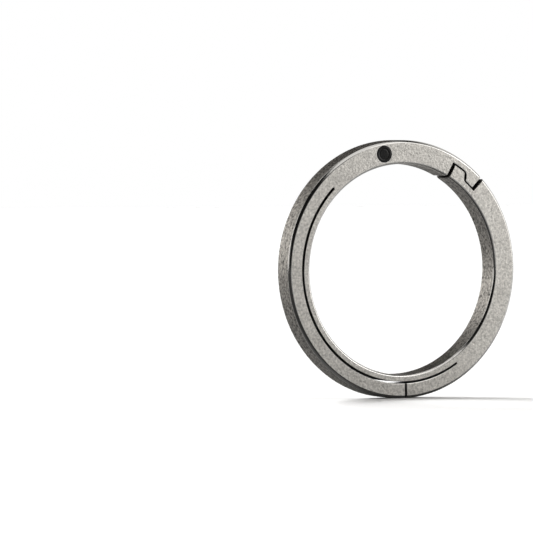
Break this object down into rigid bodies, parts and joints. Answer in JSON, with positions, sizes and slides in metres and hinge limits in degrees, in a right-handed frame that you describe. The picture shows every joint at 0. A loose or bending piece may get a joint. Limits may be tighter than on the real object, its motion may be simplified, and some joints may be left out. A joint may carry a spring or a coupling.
{
  "type": "split key ring",
  "caption": "Flat titanium key ring with a hooked latch; its gate is pushed sideways past the frame on a thin twisting leaf spring to let keys on.",
  "frame": {"origin": "the centre of the ring, midway between its two faces", "axes": "+Y along the ring's axis, from the marked face to the plain face; +Z to twelve o'clock, +X to three o'clock seen from the marked face"},
  "size_m": [0.032, 0.0032, 0.032],
  "materials": {
    "titanium": "stonewashed titanium, matte warm grey",
    "leaf": "stonewashed titanium, matte warm grey",
    "mark": "black lacquer, satin"
  },
  "bodies": {
    "frame": {"crown": "titanium", "outer_bow": "titanium", "keeper_hook": "titanium", "leaf_root": "leaf", "mark_fill": "mark"},
    "leaf_01": {"leaf_01": "leaf"},
    "leaf_02": {"leaf_02": "leaf"},
    "leaf_03": {"leaf_03": "leaf"},
    "leaf_04": {"leaf_04": "leaf"},
    "leaf_05": {"leaf_05": "leaf"},
    "leaf_06": {"leaf_06": "leaf"},
    "leaf_07": {"leaf_07": "leaf"},
    "leaf_08": {"leaf_08": "leaf"},
    "leaf_09": {"leaf_09": "leaf"},
    "leaf_10": {"leaf_10": "leaf"},
    "leaf_11": {"leaf_11": "leaf"},
    "leaf_12": {"leaf_12": "leaf"},
    "leaf_13": {"leaf_13": "leaf"},
    "gate": {"gate_arm": "titanium", "gate_heel": "titanium", "gate_hook": "titanium", "leaf_tip": "leaf"}
  },
  "joints": [
    {"name": "twist_01", "type": "hinge", "parent": "frame", "child": "leaf_01", "pos_m": [-0.01034, 0, 0.00866], "axis": [0.6423, 0, 0.7664], "range_deg": [-0.3989, 0.3989], "stiffness_Nm_per_rad": 9.51},
    {"name": "twist_02", "type": "hinge", "parent": "leaf_01", "child": "leaf_02", "pos_m": [-0.01192, 0, 0.00631], "axis": [0.4678, 0, 0.8838], "range_deg": [-0.4943, 0.4943], "stiffness_Nm_per_rad": 9.51},
    {"name": "twist_03", "type": "hinge", "parent": "leaf_02", "child": "leaf_03", "pos_m": [-0.01298, 0, 0.00368], "axis": [0.2726, 0, 0.9621], "range_deg": [-0.59, 0.59], "stiffness_Nm_per_rad": 9.51},
    {"name": "twist_04", "type": "hinge", "parent": "leaf_03", "child": "leaf_04", "pos_m": [-0.01346, 0, 0.00088], "axis": [0.0654, 0, 0.9979], "range_deg": [-0.67, 0.67], "stiffness_Nm_per_rad": 9.51},
    {"name": "twist_05", "type": "hinge", "parent": "leaf_04", "child": "leaf_05", "pos_m": [-0.01335, 0, -0.00195], "axis": [-0.1447, 0, 0.9895], "range_deg": [-0.75, 0.75], "stiffness_Nm_per_rad": 9.51},
    {"name": "twist_06", "type": "hinge", "parent": "leaf_05", "child": "leaf_06", "pos_m": [-0.01264, 0, -0.0047], "axis": [-0.3485, 0, 0.9373], "range_deg": [-0.81, 0.81], "stiffness_Nm_per_rad": 9.51},
    {"name": "twist_07", "type": "hinge", "parent": "leaf_06", "child": "leaf_07", "pos_m": [-0.01138, 0, -0.00724], "axis": [-0.5368, 0, 0.8437], "range_deg": [-0.85, 0.85], "stiffness_Nm_per_rad": 9.51},
    {"name": "twist_08", "type": "hinge", "parent": "leaf_07", "child": "leaf_08", "pos_m": [-0.00961, 0, -0.00946], "axis": [-0.7014, 0, 0.7128], "range_deg": [-0.87, 0.87], "stiffness_Nm_per_rad": 9.51},
    {"name": "twist_09", "type": "hinge", "parent": "leaf_08", "child": "leaf_09", "pos_m": [-0.00742, 0, -0.01126], "axis": [-0.8349, 0, 0.5504], "range_deg": [-0.88, 0.88], "stiffness_Nm_per_rad": 9.51},
    {"name": "twist_10", "type": "hinge", "parent": "leaf_09", "child": "leaf_10", "pos_m": [-0.0049, 0, -0.01256], "axis": [-0.9316, 0, 0.3636], "range_deg": [-0.86, 0.86], "stiffness_Nm_per_rad": 9.51},
    {"name": "twist_11", "type": "hinge", "parent": "leaf_10", "child": "leaf_11", "pos_m": [-0.00217, 0, -0.01331], "axis": [-0.987, 0, 0.1607], "range_deg": [-0.82, 0.82], "stiffness_Nm_per_rad": 9.51},
    {"name": "twist_12", "type": "hinge", "parent": "leaf_11", "child": "leaf_12", "pos_m": [0.00066, 0, -0.01347], "axis": [-0.9988, 0, -0.0492], "range_deg": [-0.77, 0.77], "stiffness_Nm_per_rad": 9.51},
    {"name": "twist_13", "type": "hinge", "parent": "leaf_12", "child": "leaf_13", "pos_m": [0.00347, 0, -0.01303], "axis": [-0.9664, 0, -0.257], "range_deg": [-0.7, 0.7], "stiffness_Nm_per_rad": 9.51},
    {"name": "gate_push", "type": "hinge", "parent": "leaf_13", "child": "gate", "pos_m": [0.00612, 0, -0.01202], "axis": [-0.8913, 0, -0.4534], "range_deg": [-0.62, 0.62], "stiffness_Nm_per_rad": 9.51}
  ],
  "couplings": [
    {"joint": "twist_01", "follows": "gate_push", "ratio": 0.64121},
    {"joint": "twist_02", "follows": "gate_push", "ratio": 0.79477},
    {"joint": "twist_03", "follows": "gate_push", "ratio": 0.94321},
    {"joint": "twist_04", "follows": "gate_push", "ratio": 1.08},
    {"joint": "twist_05", "follows": "gate_push", "ratio": 1.199},
    {"joint": "twist_06", "follows": "gate_push", "ratio": 1.295},
    {"joint": "twist_07", "follows": "gate_push", "ratio": 1.3638},
    {"joint": "twist_08", "follows": "gate_push", "ratio": 1.4023},
    {"joint": "twist_09", "follows": "gate_push", "ratio": 1.4088},
    {"joint": "twist_10", "follows": "gate_push", "ratio": 1.3831},
    {"joint": "twist_11", "follows": "gate_push", "ratio": 1.3262},
    {"joint": "twist_12", "follows": "gate_push", "ratio": 1.2407},
    {"joint": "twist_13", "follows": "gate_push", "ratio": 1.1303}
  ]
}
